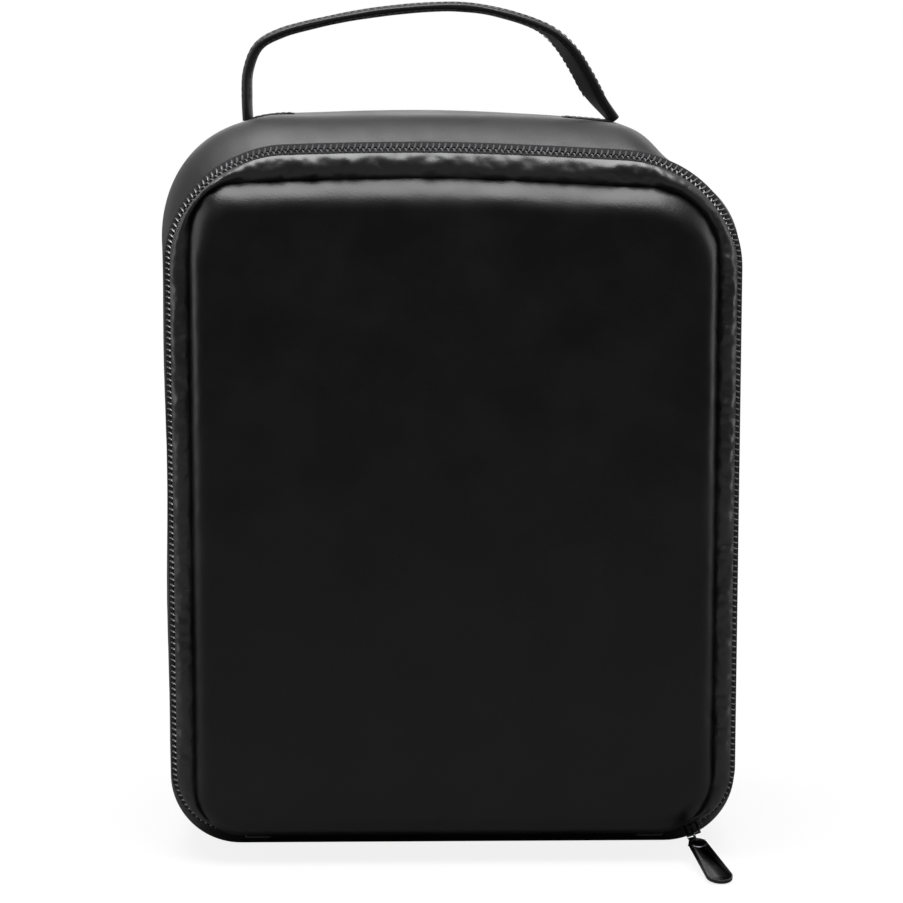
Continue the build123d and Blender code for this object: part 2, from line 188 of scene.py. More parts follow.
def settle(points):
    """The upper right corner sags, and the top droops towards both corners."""
    drop = right_drop * ease((points[:, 0] + 20 * mm) / (110 * mm)) * ease((points[:, 2] - 0.18) / 0.15)
    bow = corner_droop * np.clip(np.abs(points[:, 0]) / (100 * mm), 0, 1) ** 2.5
    bow = bow * ease((points[:, 2] - 0.25) / 0.07)
    points = points.copy()
    points[:, 2] -= drop + bow
    return points


def sunk(walk, closed):
    """How far the wall has fallen in at mid-depth, round each upper corner."""
    along = np.asarray(walk) * walk_length(closed)
    left = base_radius * quarter_turn + upright
    right = left + top_radius * quarter_turn + 2 * (zip_half - top_radius)
    depth = np.zeros_like(along)
    for start, amount, before, after in ((left + 46 * mm, -2.5 * mm, 34 * mm, 34 * mm),
                                         (right + 32 * mm, 11 * mm, 20 * mm, 34 * mm)):
        away = along - start
        depth += amount * np.exp(-((away / np.where(away < 0, before, after)) ** 2))
    return depth


def rumple(points, size, seed):
    """Soft noise from -1 to 1 at each point, with lumps of that size."""
    shift = Vector((seed * 7.3, seed * 3.1, seed * 5.7))
    return np.array([noise.noise(Vector(p) / size + shift) for p in points]) * 1.6


print("corner sinks by", round(float(sunk(0.62, False)) / mm, 1), "mm at one place over the top")

# %% [markdown]
# Blender's grid is the cloth on the cutting table. A helper adds one, gives it a UV map in real metres, and lays
# each of its points on the bag. Solidify then gives it the leather's thickness on its inner side.


# %% Lay a sheet
def only(piece):
    """Select this piece and nothing else."""
    if bpy.context.mode != "OBJECT":
        bpy.ops.object.mode_set(mode="OBJECT")
    bpy.ops.object.select_all(action="DESELECT")
    if piece is not None:
        piece.select_set(True)
        bpy.context.view_layer.objects.active = piece


def points_of(piece):
    flat = np.zeros(len(piece.data.vertices) * 3)
    piece.data.vertices.foreach_get("co", flat)
    return flat.reshape(-1, 3)


def move_points(piece, points):
    piece.data.vertices.foreach_set("co", np.asarray(points, float).ravel())
    piece.data.update()


same_place = 0.01 * mm


def merge_seam(piece):
    """Join the points that lie on each other, where a sheet laid right round meets itself."""
    only(piece)
    bpy.ops.object.mode_set(mode="EDIT")
    bpy.ops.mesh.select_all(action="SELECT")
    bpy.ops.mesh.remove_doubles(threshold=same_place)
    bpy.ops.object.mode_set(mode="OBJECT")


def turn_outwards(piece):
    """Turn every face of a closed shape outwards."""
    only(piece)
    bpy.ops.object.mode_set(mode="EDIT")
    bpy.ops.mesh.select_all(action="SELECT")
    bpy.ops.mesh.normals_make_consistent(inside=False)
    bpy.ops.object.mode_set(mode="OBJECT")


def fill_ends(piece):
    """Fill the open edges of a sheet or a tube with faces."""
    only(piece)
    bpy.ops.object.mode_set(mode="EDIT")
    bpy.ops.mesh.select_mode(type="EDGE")
    bpy.ops.mesh.select_all(action="DESELECT")
    bpy.ops.mesh.select_non_manifold()
    bpy.ops.mesh.edge_face_add()
    bpy.ops.mesh.select_mode(type="VERT")
    bpy.ops.object.mode_set(mode="OBJECT")


def laid_sheet(name, columns, rows, place, cut, merge=False):
    """A grid whose points are laid by place(u, v), with a UV map of the cut's size."""
    only(None)
    bpy.ops.mesh.primitive_grid_add(x_subdivisions=columns, y_subdivisions=rows, size=1, calc_uvs=True)
    piece = bpy.context.active_object
    piece.name = piece.data.name = name
    flat = points_of(piece)
    move_points(piece, place(flat[:, 0] + 0.5, flat[:, 1] + 0.5))
    loops = np.zeros(len(piece.data.loops) * 2)
    uv = piece.data.uv_layers.active.data
    uv.foreach_get("uv", loops)
    loops = loops.reshape(-1, 2) * np.array(cut)
    uv.foreach_set("uv", loops.ravel())
    if merge:
        merge_seam(piece)
    return piece


def use_modifier(piece, kind, **settings):
    """Add a modifier with these settings and apply it."""
    only(piece)
    added = piece.modifiers.new(kind.title(), kind)
    for setting, value in settings.items():
        setattr(added, setting, value)
    bpy.ops.object.modifier_apply(modifier=added.name)


def thicken(piece, thickness):
    use_modifier(piece, "SOLIDIFY", thickness=thickness, offset=-1.0)


def area_of(piece):
    return sum(face.area for face in piece.data.polygons)


print("points closer than", same_place, "m are merged")

# %% [markdown]
# Patterns that several finishes share are node groups, built once. Each puts out heights and masks only, and the
# shader stays in the material. These helpers add the group, a Math node, a texture, a Map Range and a colour mix.


# %% Node helpers
def new_group(name, inputs, outputs):
    group = bpy.data.node_groups.new(name, "ShaderNodeTree")
    for socket, kind, value in inputs:
        made = group.interface.new_socket(name=socket, in_out="INPUT", socket_type=kind)
        if value is not None:
            made.default_value = value
    for socket in outputs:
        group.interface.new_socket(name=socket, in_out="OUTPUT", socket_type="NodeSocketFloat")
    return group, group.nodes.new("NodeGroupInput"), group.nodes.new("NodeGroupOutput")


def calc(tree, operation, first, second=None):
    """A Math node whose inputs are sockets or numbers."""
    node = tree.nodes.new("ShaderNodeMath")
    node.operation = operation
    for place, value in enumerate((first, second)):
        if value is None:
            continue
        if isinstance(value, (int, float)):
            node.inputs[place].default_value = value
        else:
            tree.links.new(value, node.inputs[place])
    return node.outputs[0]


def textured(tree, kind, vector, scale, **settings):
    node = tree.nodes.new(kind)
    for setting, value in settings.items():
        if hasattr(node, setting):
            setattr(node, setting, value)
        else:
            node.inputs[setting].default_value = value
    tree.links.new(vector, node.inputs["Vector"])
    if isinstance(scale, (int, float)):
        node.inputs["Scale"].default_value = scale
    else:
        tree.links.new(scale, node.inputs["Scale"])
    return node


def ranged(tree, value, start, end, low, high):
    """A Map Range from start-end to low-high."""
    node = tree.nodes.new("ShaderNodeMapRange")
    for socket, number in (("From Min", start), ("From Max", end), ("To Min", low), ("To Max", high)):
        node.inputs[socket].default_value = number
    tree.links.new(value, node.inputs["Value"])
    return node.outputs[0]


def between(tree, dark, light, factor):
    """A colour between two others."""
    node = tree.nodes.new("ShaderNodeMix")
    node.data_type = "RGBA"
    node.inputs["A"].default_value = (*dark, 1)
    node.inputs["B"].default_value = (*light, 1)
    tree.links.new(factor, node.inputs["Factor"])
    return node.outputs["Result"]


print("node groups so far:", len(bpy.data.node_groups))

# %% [markdown]
# Imitation leather is embossed with small rounded cells, about a millimetre across. Two Voronoi textures give the
# cells' domes and the creases between them. A fine noise breaks them up, and a slow one is the mottling that
# handling leaves.

# %% Leather grain group
grain_group, grain_in, grain_out = new_group(
    "Leather grain",
    [("Vector", "NodeSocketVector", None), ("Cells per metre", "NodeSocketFloat", 1100.0)],
    ("Height", "Crease", "Mottle"),
)
cells = textured(grain_group, "ShaderNodeTexVoronoi", grain_in.outputs[0], grain_in.outputs[1],
                 feature="SMOOTH_F1", Smoothness=0.6, Randomness=0.9)
edges = textured(grain_group, "ShaderNodeTexVoronoi", grain_in.outputs[0], grain_in.outputs[1],
                 feature="DISTANCE_TO_EDGE", Randomness=0.9)
fine = textured(grain_group, "ShaderNodeTexNoise", grain_in.outputs[0], 5200.0, Detail=2.0)
slow = textured(grain_group, "ShaderNodeTexNoise", grain_in.outputs[0], 34.0, Detail=4.0, Roughness=0.55)
domes = calc(grain_group, "SUBTRACT", 1.0, cells.outputs["Distance"])
crease = calc(grain_group, "MINIMUM", calc(grain_group, "MULTIPLY", edges.outputs["Distance"], 6.0), 1.0)
height = calc(grain_group, "ADD", calc(grain_group, "MULTIPLY", domes, 0.8),
              calc(grain_group, "MULTIPLY", fine.outputs[0], 0.2))
grain_group.links.new(height, grain_out.inputs["Height"])
grain_group.links.new(crease, grain_out.inputs["Crease"])
grain_group.links.new(slow.outputs[0], grain_out.inputs["Mottle"])
print("grain group nodes:", len(grain_group.nodes))

# %% [markdown]
# Lining, tape and webbing are plain weaves: a warp thread goes over a weft thread and then under the next. Two sine
# waves across the UV map are the threads, and a checker made by Modulo says which of them is on top.

# %% Weave group
weave_group, weave_in, weave_out = new_group(
    "Plain weave",
    [("Vector", "NodeSocketVector", None), ("Threads per metre", "NodeSocketFloat", 1600.0)],
    ("Height", "Shade"),
)
split = weave_group.nodes.new("ShaderNodeSeparateXYZ")
weave_group.links.new(weave_in.outputs[0], split.inputs[0])
warp = calc(weave_group, "MULTIPLY", split.outputs[0], weave_in.outputs[1])
weft = calc(weave_group, "MULTIPLY", split.outputs[1], weave_in.outputs[1])
warp_wave = calc(weave_group, "ABSOLUTE", calc(weave_group, "SINE", calc(weave_group, "MULTIPLY", warp, math.pi)))
weft_wave = calc(weave_group, "ABSOLUTE", calc(weave_group, "SINE", calc(weave_group, "MULTIPLY", weft, math.pi)))
parity = calc(weave_group, "MODULO", calc(weave_group, "ADD", calc(weave_group, "FLOOR", warp),
                                          calc(weave_group, "FLOOR", weft)), 2.0)
over = calc(weave_group, "ABSOLUTE", parity)
under = calc(weave_group, "SUBTRACT", 1.0, over)
woven = calc(weave_group, "ADD", calc(weave_group, "MULTIPLY", warp_wave, over),
             calc(weave_group, "MULTIPLY", weft_wave, under))
weave_group.links.new(woven, weave_out.inputs["Height"])
patchy = textured(weave_group, "ShaderNodeTexNoise", weave_in.outputs[0], 90.0, Detail=3.0)
weave_group.links.new(patchy.outputs[0], weave_out.inputs["Shade"])
print("weave group nodes:", len(weave_group.nodes))

# %% [markdown]
# Each finish is one Principled shader. Colour runs between two close shades, roughness between two values, and the
# bump comes from the group's height, at the real grain's size.


# %% Material helper
def finish_of(name, dark, light, rough, depth, per_metre, group, outputs, coordinates="Object", **constants):
    """A material whose shade and roughness wander between two values, with a bump from the group."""
    made = bpy.data.materials.new(name)
    made.use_nodes = True
    tree = made.node_tree
    shader = tree.nodes["Principled BSDF"]
    pattern = tree.nodes.new("ShaderNodeGroup")
    pattern.node_tree = group
    tree.links.new(tree.nodes.new("ShaderNodeTexCoord").outputs[coordinates], pattern.inputs["Vector"])
    pattern.inputs[1].default_value = per_metre
    shade_name, height_name = outputs
    wander = ranged(tree, pattern.outputs[shade_name], 0.35, 0.65, 0.0, 1.0)
    tree.links.new(between(tree, dark, light, wander), shader.inputs["Base Color"])
    tree.links.new(ranged(tree, wander, 0.0, 1.0, *rough), shader.inputs["Roughness"])
    bump = tree.nodes.new("ShaderNodeBump")
    bump.inputs["Strength"].default_value = 1.0
    bump.inputs["Distance"].default_value = depth
    tree.links.new(pattern.outputs[height_name], bump.inputs["Height"])
    tree.links.new(bump.outputs[0], shader.inputs["Normal"])
    for socket, value in constants.items():
        shader.inputs[socket.replace("_", " ")].default_value = value
    return made


print("materials so far:", len(bpy.data.materials))

# %% [markdown]
# The outer leather is nearly black. The panel is the smoothest, and its colour is darker than the rest as painted
# shade for the front, and the border is softer and shinier, so its puckers catch the light. Cloth is rough, the coil
# is glossy black nylon lightened to grey as painted sheen, and the slider and pull are dark metal.

# %% Finishes
grain = {"group": grain_group, "outputs": ("Mottle", "Height")}
weave = {"group": weave_group, "outputs": ("Shade", "Height"), "coordinates": "UV"}
black_leather = finish_of("bag leather", (0.0045, 0.0045, 0.005), (0.008, 0.008, 0.0086), (0.44, 0.54), 0.00006,
                          1150.0, Specular_IOR_Level=0.5, **grain)
# The panel's leather is the bag's leather made smoother, and its colour is darker as painted shade for the front face,
# which the top lamp lights less.
panel_leather_painted_shade = finish_of("panel leather painted shade", (0.0022, 0.0022, 0.0024), (0.0045, 0.0045, 0.0048), (0.3, 0.38),
                          0.00004, 1150.0, Specular_IOR_Level=0.45, **grain)
rim_leather = finish_of("border leather", (0.007, 0.007, 0.0074), (0.017, 0.017, 0.018), (0.32, 0.44), 0.00004,
                        1300.0, Specular_IOR_Level=0.75, **grain)
strap_finish = finish_of("strap leather", (0.006, 0.006, 0.0065), (0.012, 0.012, 0.013), (0.34, 0.45), 0.00006,
                         1250.0, Specular_IOR_Level=0.4, **grain)
lining_finish = finish_of("lining cloth", (0.022, 0.022, 0.024), (0.04, 0.04, 0.043), (0.75, 0.88), 0.00008,
                          2000.0, Specular_IOR_Level=0.25, Sheen_Weight=0.08, **weave)
foam_finish = finish_of("padding foam", (0.2, 0.2, 0.19), (0.3, 0.3, 0.285), (0.85, 0.95), 0.0002, 900.0,
                        grain_group, ("Mottle", "Crease"), Specular_IOR_Level=0.2)
board_finish = finish_of("stiffener board", (0.03, 0.03, 0.031), (0.05, 0.05, 0.052), (0.6, 0.8), 0.00005,
                         2600.0, Specular_IOR_Level=0.25, **grain)
tape_finish = finish_of("zip tape", (0.008, 0.008, 0.009), (0.016, 0.016, 0.018), (0.7, 0.85), 0.00008, 2300.0,
                        Specular_IOR_Level=0.3, **weave)
# The coil is black nylon, and its colour is lightened to grey as painted sheen for the highlights along its turns.
coil_finish_painted_sheen = finish_of("zip coil painted sheen", (0.06, 0.06, 0.062), (0.12, 0.12, 0.124), (0.2, 0.3), 0.00001, 3000.0,
                        Specular_IOR_Level=0.9, **grain)
metal_finish = finish_of("dark metal", (0.045, 0.045, 0.048), (0.09, 0.09, 0.095), (0.2, 0.34), 0.00001, 2400.0,
                         Metallic=1.0, **grain)
webbing_finish = finish_of("webbing", (0.012, 0.012, 0.013), (0.024, 0.024, 0.026), (0.7, 0.85), 0.00015, 900.0,
                           Specular_IOR_Level=0.3, **weave)
binding_finish = finish_of("binding tape", (0.014, 0.014, 0.015), (0.026, 0.026, 0.028), (0.6, 0.75), 0.0001,
                           1300.0, Specular_IOR_Level=0.3, **weave)
thread_finish = finish_of("sewing thread", (0.012, 0.012, 0.013), (0.022, 0.022, 0.024), (0.5, 0.65), 0.00003,
                          5200.0, Specular_IOR_Level=0.4, **grain)
finishes = {
    "outer_leather": black_leather, "border_leather": rim_leather, "strap_leather": strap_finish,
    "lining_cloth": lining_finish, "padding_foam": foam_finish, "stiffener_board": board_finish,
    "zip_tape": tape_finish, "zip_coil": coil_finish_painted_sheen, "dark_metal": metal_finish, "webbing": webbing_finish,
    "binding_tape": binding_finish,
}
print("finishes:", len(finishes))

# %% [markdown]
# Each piece takes its finish from the material of its slot, unless it is given another, and is parented to the body it
# moves with. A piece that belongs to two bodies is instead left fixed where it lies, parented to neither. This helper
# does it all at once, for every piece.


# %% Hand a piece over to the frame
def hand_over(piece, slot, body, nodes=(), angle=60, finish=None, blend=None):
    """Give the piece its finish and its body, and hide the frame's parts that it stands for."""
    piece.data.materials.clear()
    piece.data.materials.append(finish or finishes[slot])
    only(piece)
    bpy.ops.object.shade_smooth_by_angle(angle=math.radians(angle))
    if nodes:
        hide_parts(*nodes)
    if blend:
        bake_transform(piece)
    else:
        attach(piece, body)
    print(piece.name, "faces:", len(piece.data.polygons))
    return piece


print("slots with a finish:", ", ".join(sorted(finishes)))

# %% [markdown]
# ## The wall
# The gusset is a long strip of padded leather, 129 mm deep, that goes round the bag between the zip and the
# back. It swells steeply from each seam and is nearly level in between. At the sides it is held in, so the zip is
# the bag's widest line. The base is the same strip, flat on the floor. Each layer is the same sheet, drawn in by
# what lies outside it.


# %% The swollen wall
front_rise = 26.5 * mm
back_rise = 34.5 * mm
side_held_in = 3.5 * mm
pucker_reach = 7 * mm


def swelling(depth):
    """Share of the full swelling at a depth, from 0 at each seam to 1 in between."""
    from_front = np.clip((depth - front_edge) / front_rise, 0, 1)
    from_back = np.clip((back_edge - depth) / back_rise, 0, 1)
    return np.minimum(1 - (1 - from_front) ** 2, 1 - (1 - from_back) ** 2)


def wall_points(walk, depth, inset, closed=False, pucker=0.0):
    """Points of the wall at a walk round it and a depth, drawn in by inset."""
    share = swelling(depth)
    side = share * (side_swell - side_held_in + edge_inset) - edge_inset
    top = share * (top_swell + edge_inset) - edge_inset
    base = share * (zip_rise + edge_inset) - edge_inset
    upper, lower = top_radius + side - inset, base_radius + side - inset
    x, z, out_x, out_z = rounded(walk, zip_half + side - inset, zip_rise - base + inset, zip_top + top - inset,
                                 (lower, upper, upper, lower), closed)
    along = np.asarray(walk) * walk_length(closed)
    spots = np.stack([along, depth, np.zeros_like(along)], axis=1)
    off_floor = ease((z - 0.012) / 0.05)
    lift = 0.9 * mm * rumple(spots, 0.075, 1) * share * off_floor
    lift = lift - sunk(walk, closed) * share
    if pucker:
        near = np.exp(-(depth - front_edge) / pucker_reach) + 0.7 * np.exp(-(back_edge - depth) / pucker_reach)
        ripples = rumple(spots * np.array([1.0, 0.35, 1.0]), 0.0075, 2)
        lift = lift + pucker * ripples * near * ease((depth - front_edge) / (2 * mm)) * off_floor
    points = np.stack([x + out_x * lift, depth, z + out_z * lift], axis=1)
    return settle(points)


def edge_dense(share):
    """Rows are closer together near both edges."""
    return 0.5 * share + 0.25 * (1 - np.cos(math.pi * share))


def wall_sheet(name, columns, rows, inset, start=0.0, end=1.0, front=None, back=None, closed=False, pucker=0.0):
    """A strip of the wall between two walks and two depths. Returns the piece and its one side's sizes."""
    front = front_edge if front is None else front
    back = back_edge if back is None else back
    length = (end - start) * walk_length(closed)

    def place(u, v):
        return wall_points(start + (end - start) * u, front + (back - front) * edge_dense(v), inset, closed, pucker)

    made = laid_sheet(name, columns, rows, place, (length, back - front))
    area = area_of(made)
    return made, (area, area / length, length)


total_walk = walk_length(True)
base_start = walk_length() / total_walk
print("once round the wall:", round(total_walk, 4))

# %% [markdown]
# The outer leather is two cuts: the gusset, from one lower corner over the top to the other, and the base. Puckers
# run in from the gusset's seams, where the thread has drawn the leather.

# %% Gusset and base
gusset, gusset_cut = wall_sheet("gusset_leather", 430, 42, 0.0, pucker=0.5 * mm)
thicken(gusset, leather)
hand_over(gusset, "outer_leather", "bag", ["upper_gusset"])
base, base_cut = wall_sheet("base_leather", 90, 40, 0.0, start=base_start, end=1.0, closed=True)
thicken(base, leather)
hand_over(base, "outer_leather", "bag", ["base_panel"])

# %% [markdown]
# Under the leather lies a layer of foam, and a woven lining covers it inside. The lining goes right round, so the
# grid's two ends meet and are merged before it gets its thickness.

# %% Padding and lining of the wall
foam_inset = leather + layer_gap
lining_inset = foam_inset + padding + layer_gap
gusset_padding, _ = wall_sheet("gusset_padding", 220, 26, foam_inset)
thicken(gusset_padding, padding)
hand_over(gusset_padding, "padding_foam", "bag", ["gusset_foam"])
base_padding, _ = wall_sheet("base_padding", 60, 24, foam_inset, start=base_start, end=1.0, closed=True)
thicken(base_padding, padding)
hand_over(base_padding, "padding_foam", "bag", ["base_foam"])
bag_lining, lining_cut = wall_sheet("bag_lining", 320, 30, lining_inset, closed=True)
merge_seam(bag_lining)
thicken(bag_lining, lining)
hand_over(bag_lining, "lining_cloth", "bag", ["body_lining"])

# %% [markdown]
# Inside, a woven tape binds the raw edges of the front and back seams. It is folded over them, so it is thicker
# than the lining and rounded.

# %% Seam bindings
inner_inset = lining_inset + lining + layer_gap
binding_width = 9 * mm
binding_thickness = 1.2 * mm
for name, node, low_edge in (("front_seam_binding", "front_binding", front_edge),
                             ("back_seam_binding", "back_binding", back_edge - binding_width)):
    made, _ = wall_sheet(name, 320, 6, inner_inset, closed=True, front=low_edge, back=low_edge + binding_width)
    merge_seam(made)
    thicken(made, binding_thickness)
    use_modifier(made, "BEVEL", width=0.4 * mm, segments=2, limit_method="ANGLE", angle_limit=0.9)
    hand_over(made, "binding_tape", "bag", [node])

# %% [markdown]
# ## Flat and puffed plates
# The door's panel, its board, and the layers of the back are rounded rectangles. The grid's rows are laid across
# them and get shorter in the corners, and the height of each point follows from its distance to the edge.


# %% Lay a plate
def plate(name, columns, rows, half, low, high, radii, depth_at, toward_front=True):
    """A sheet with a rounded rectangle's outline. depth_at(distance to the edge, x, z) gives each point's depth."""
    r_ll, r_ul, r_ur, r_lr = radii

    def place(u, v):
        u = 0.5 - 0.5 * np.cos(math.pi * u)
        v = 0.5 - 0.5 * np.cos(math.pi * v)
        z = low + (high - low) * v
        upper = z > (low + high) / 2

        def edge_at(lower_radius, upper_radius):
            radius = np.where(upper, upper_radius, lower_radius)
            beyond = np.where(upper, z - (high - radius), low + radius - z)
            beyond = np.clip(beyond, 0, radius)
            return half - (radius - np.sqrt(np.maximum(radius ** 2 - beyond ** 2, 0)))

        left, right = -edge_at(r_ll, r_ul), edge_at(r_lr, r_ur)
        x = left + (right - left) * u
        radius = np.where(x < 0, np.where(upper, r_ul, r_ll), np.where(upper, r_ur, r_lr))
        over_x = np.abs(x) - (half - radius)
        over_z = np.where(upper, z - (high - radius), low + radius - z)
        outside = np.hypot(np.maximum(over_x, 0), np.maximum(over_z, 0))
        distance = radius - outside - np.minimum(np.maximum(over_x, over_z), 0)
        depth = depth_at(np.maximum(distance, 0), x, z)
        if not toward_front:
            x = -x
        return settle(np.stack([x, depth, z], axis=1))

    return laid_sheet(name, columns, rows, place, (2 * half, high - low))


def level(depth):
    """A plate that is flat."""
    return lambda distance, x, z: np.full_like(x, depth)


print("room between the corners for plates:", round(2 * zip_half, 4), "by", round(zip_top - zip_rise, 4))

# %% [markdown]
# ## The back
# The back is a padded plate of lining, foam, board and leather. The leather is turned down at its edge, to meet the
# piping, and the foam and the board are tucked in behind it.

# %% Back layers
back_inset = edge_inset + 2.2 * mm
back_half = zip_half - back_inset
back_span = (zip_rise + back_inset, zip_top - back_inset)
back_corners = corner_radii(back_inset)
back_turn = 5 * mm
for name, node, slot in (("back_lining_cloth", "back_lining", "lining_cloth"),
                         ("back_padding", "back_foam", "padding_foam"),
                         ("back_stiffener", "back_board", "stiffener_board")):
    near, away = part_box(node)
    tuck = 0.0 if slot == "lining_cloth" else 3.2 * mm
    made = plate(name, 40, 50, back_half - tuck, back_span[0] + tuck, back_span[1] - tuck,
                 tuple(r - tuck for r in back_corners), level(away.y), toward_front=False)
    thicken(made, away.y - near.y)
    hand_over(made, slot, "bag", [node])
back_low, back_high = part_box("back_panel")


def back_puff(distance, x, z):
    spots = np.stack([x, z, np.zeros_like(x)], axis=1)
    crown = 3.2 * mm * (1 - np.exp(-distance / (16 * mm))) + 1.2 * mm * (1 - np.exp(-distance / (60 * mm)))
    puckers = 0.35 * mm * rumple(spots, 0.009, 6) * np.exp(-distance / (8 * mm))
    turned = back_turn * np.sqrt(np.maximum(1 - (1 - np.clip(distance / (4 * mm), 0, 1)) ** 2, 0))
    return (back_high.y - back_turn + turned + crown + puckers
            + 0.4 * mm * rumple(spots, 0.08, 7) * ease(distance / 0.03))


back_leather = plate("back_leather", 120, 140, back_half, *back_span, back_corners, back_puff, toward_front=False)
thicken(back_leather, leather)
hand_over(back_leather, "outer_leather", "bag", ["back_panel"])

# %% [markdown]
# A piping is a cord wrapped in leather and caught in the seam, so it hides the stitches. It is a tube laid round the
# outline, a little uneven, as leather is round a cord.


# %% Piping
def tube_round(name, columns, sides, inset, depth, radius, closed=True, pucker=0.0):
    """A thin tube that follows the outline at an inset and a depth."""
    def place(u, v):
        angle = -2 * math.pi * v
        x, z, out_x, out_z = outline(u, inset, closed)
        thick = radius + pucker * rumple(np.stack([x, z, u * 0], axis=1), 0.008, 4)
        swing = thick * np.cos(angle)
        return settle(np.stack([x + out_x * swing, depth + thick * np.sin(angle), z + out_z * swing], axis=1))

    made = laid_sheet(name, columns, sides, place, (walk_length(closed), 2 * math.pi * radius), merge=True)
    turn_outwards(made)
    return made


piping_low, piping_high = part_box("back_piping")
piping = tube_round("back_edge_piping", 420, 12, edge_inset, (piping_low.y + piping_high.y) / 2,
                    (piping_high.y - piping_low.y) / 2, pucker=0.12 * mm)
hand_over(piping, "border_leather", "bag", ["back_piping"])

# %% [markdown]
# ## The door
# The panel is a cushion: a leather cover over foam, sewn down all round, so it rises like a quarter circle from
# its seam and goes on swelling slowly towards the middle. Along the top it rises more like a ramp, which catches a
# broad band of light. Small puckers run in from the seam.

# %% Panel outline
panel_half = panel_high.x
panel_span = (panel_low.z - 3.0 * mm, panel_high.z + 4.6 * mm)
panel_corners = (23 * mm, 22 * mm, 32 * mm, 28 * mm)
panel_seat = panel_high.y
panel_edge = 10.5 * mm
panel_ramp = 5.5 * mm
panel_rise = 9.3 * mm


def cushion(inset, uneven=True):
    def depth_at(distance, x, z):
        upper = ease((z - panel_span[1] + 42 * mm) / (30 * mm))
        across = np.clip(distance / (panel_edge - inset + panel_ramp * upper), 0, 1)
        arc = np.sqrt(np.maximum(1 - (1 - across) ** 2, 0))
        ramp = np.sin(quarter_turn * across)
        rise = (panel_rise - inset) * (arc + 0.85 * upper * (ramp - arc))
        rise = rise + 2.0 * mm * (1 - np.exp(-distance / (38 * mm)))
        if uneven:
            spots = np.stack([x, z, np.zeros_like(x)], axis=1)
            rise = rise + 0.35 * mm * rumple(spots, 0.1, 9) * ease(distance / 0.03)
            puckers = rumple(spots, 0.008, 11) * np.exp(-((distance - 4 * mm) / (5 * mm)) ** 2)
            rise = rise + 0.14 * mm * puckers
        return panel_seat - rise
    return depth_at


print("panel:", round(2 * panel_half, 4), "wide,", round(panel_span[1] - panel_span[0], 4), "tall")

# %% [markdown]
# The cushion's leather is one laid plate. The foam under it follows the same rise, drawn in by the leather, and its
# open back is filled with a face, so it is a closed pad.

# %% Door cushion
door_cushion = plate("door_cushion", 170, 200, panel_half, *panel_span, panel_corners, cushion(0.0))
thicken(door_cushion, leather)
# The cushion takes the panel leather, whose darker colour is painted shade.
hand_over(door_cushion, "outer_leather", "door", ["door_panel"], angle=80, finish=panel_leather_painted_shade)
inner = leather + 0.5 * mm
door_padding = plate("door_padding", 60, 70, panel_half - inner, panel_span[0] + inner, panel_span[1] - inner,
                     tuple(r - inner for r in panel_corners), cushion(inner, uneven=False))
fill_ends(door_padding)
hand_over(door_padding, "padding_foam", "door", ["door_foam"])

# %% [markdown]
# A stiff board keeps the door flat, and a woven lining covers it on the inner side. Both are level plates that fill
# the zip's outline as far as the frame's boxes say.

# %% Door board and lining
for name, node, slot in (("door_stiffener", "door_board", "stiffener_board"),
                         ("door_lining_cloth", "door_lining", "lining_cloth")):
    near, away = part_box(node)
    inset = zip_half - away.x
    made = plate(name, 50, 60, zip_half - inset, zip_rise + inset, zip_top - inset, corner_radii(inset),
                 level(near.y))
    thicken(made, away.y - near.y)
    hand_over(made, slot, "door", [node])

# %% [markdown]
# Round the panel runs a narrow strip of softer leather. It is gathered as it is sewn, so it is full of small
# puckers that catch the light. It narrows where the panel's corners come close to the zip.

# %% Border strip
border_low, border_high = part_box("door_border")
border_outer = 4.0 * mm
border_face = border_low.y
border_foot = border_high.y
border_length = walk_length()
border_ends = 0.016
border_under = 1.2 * mm
border_top_drop = 1.6 * mm


def border_place(u, v):
    """The strip runs from the zip's tape (v = 0) to under the panel's edge (v = 1), and is rolled in between."""
    walk = border_ends + (1 - 2 * border_ends) * u
    x0, z0, _, _ = rounded(walk, zip_half - border_outer, zip_rise + border_outer,
                           zip_top - border_outer - border_top_drop, corner_radii(border_outer))
    x1, z1, _, _ = rounded(walk, panel_half - border_under, panel_span[0] + border_under,
                           panel_span[1] - border_under, tuple(r - border_under for r in panel_corners))
    x, z = x0 + (x1 - x0) * v, z0 + (z1 - z0) * v
    roll = np.sin(math.pi * (0.05 + 0.95 * np.clip(v * 1.02, 0, 1))) ** 0.7
    spots = np.stack([x, z, np.zeros_like(x)], axis=1)
    puckers = rumple(spots, 0.0046, 21) * 0.5 + rumple(spots, 0.0095, 22) * 0.5 + rumple(spots, 0.0026, 23) * 0.12
    fade = ease(u / 0.01) * ease((1 - u) / 0.01)
    height = (border_foot - border_face) * (2.1 * roll + 0.8 * puckers * roll) * fade
    return settle(np.stack([x, border_foot - 0.1 * mm - np.maximum(height, -0.2 * mm), z], axis=1))


door_edging = laid_sheet("door_edging", 1150, 16, border_place, (border_length, 12 * mm))
thicken(door_edging, 0.9 * mm)
hand_over(door_edging, "border_leather", "door", ["door_border"], angle=80)

# %% [markdown]
# ## The zip
# The zip runs along the slope between the door and the wall, so its section is turned by an eighth of a turn. Two
# helpers give points of that section and lay them along the outline.

# %% Places on the zip
chain_inset = 2.9 * mm
chain_depth = -66.2 * mm
slope = math.sqrt(0.5)
inner_plane = front_edge - 0.35 * mm


def zip_section(toward_bag, out_of_face):
    """Inset from the zip's outline and depth of a point of the zip's section, from the chain's middle."""
    return (chain_inset - (toward_bag + out_of_face) * slope, chain_depth - (out_of_face - toward_bag) * slope)


def zip_points(walk, inset, depth):
    """Points along the zip at an inset and a depth."""
    x, z, _, _ = outline(walk, inset)
    return settle(np.stack([x, np.broadcast_to(depth, x.shape), z], axis=1))


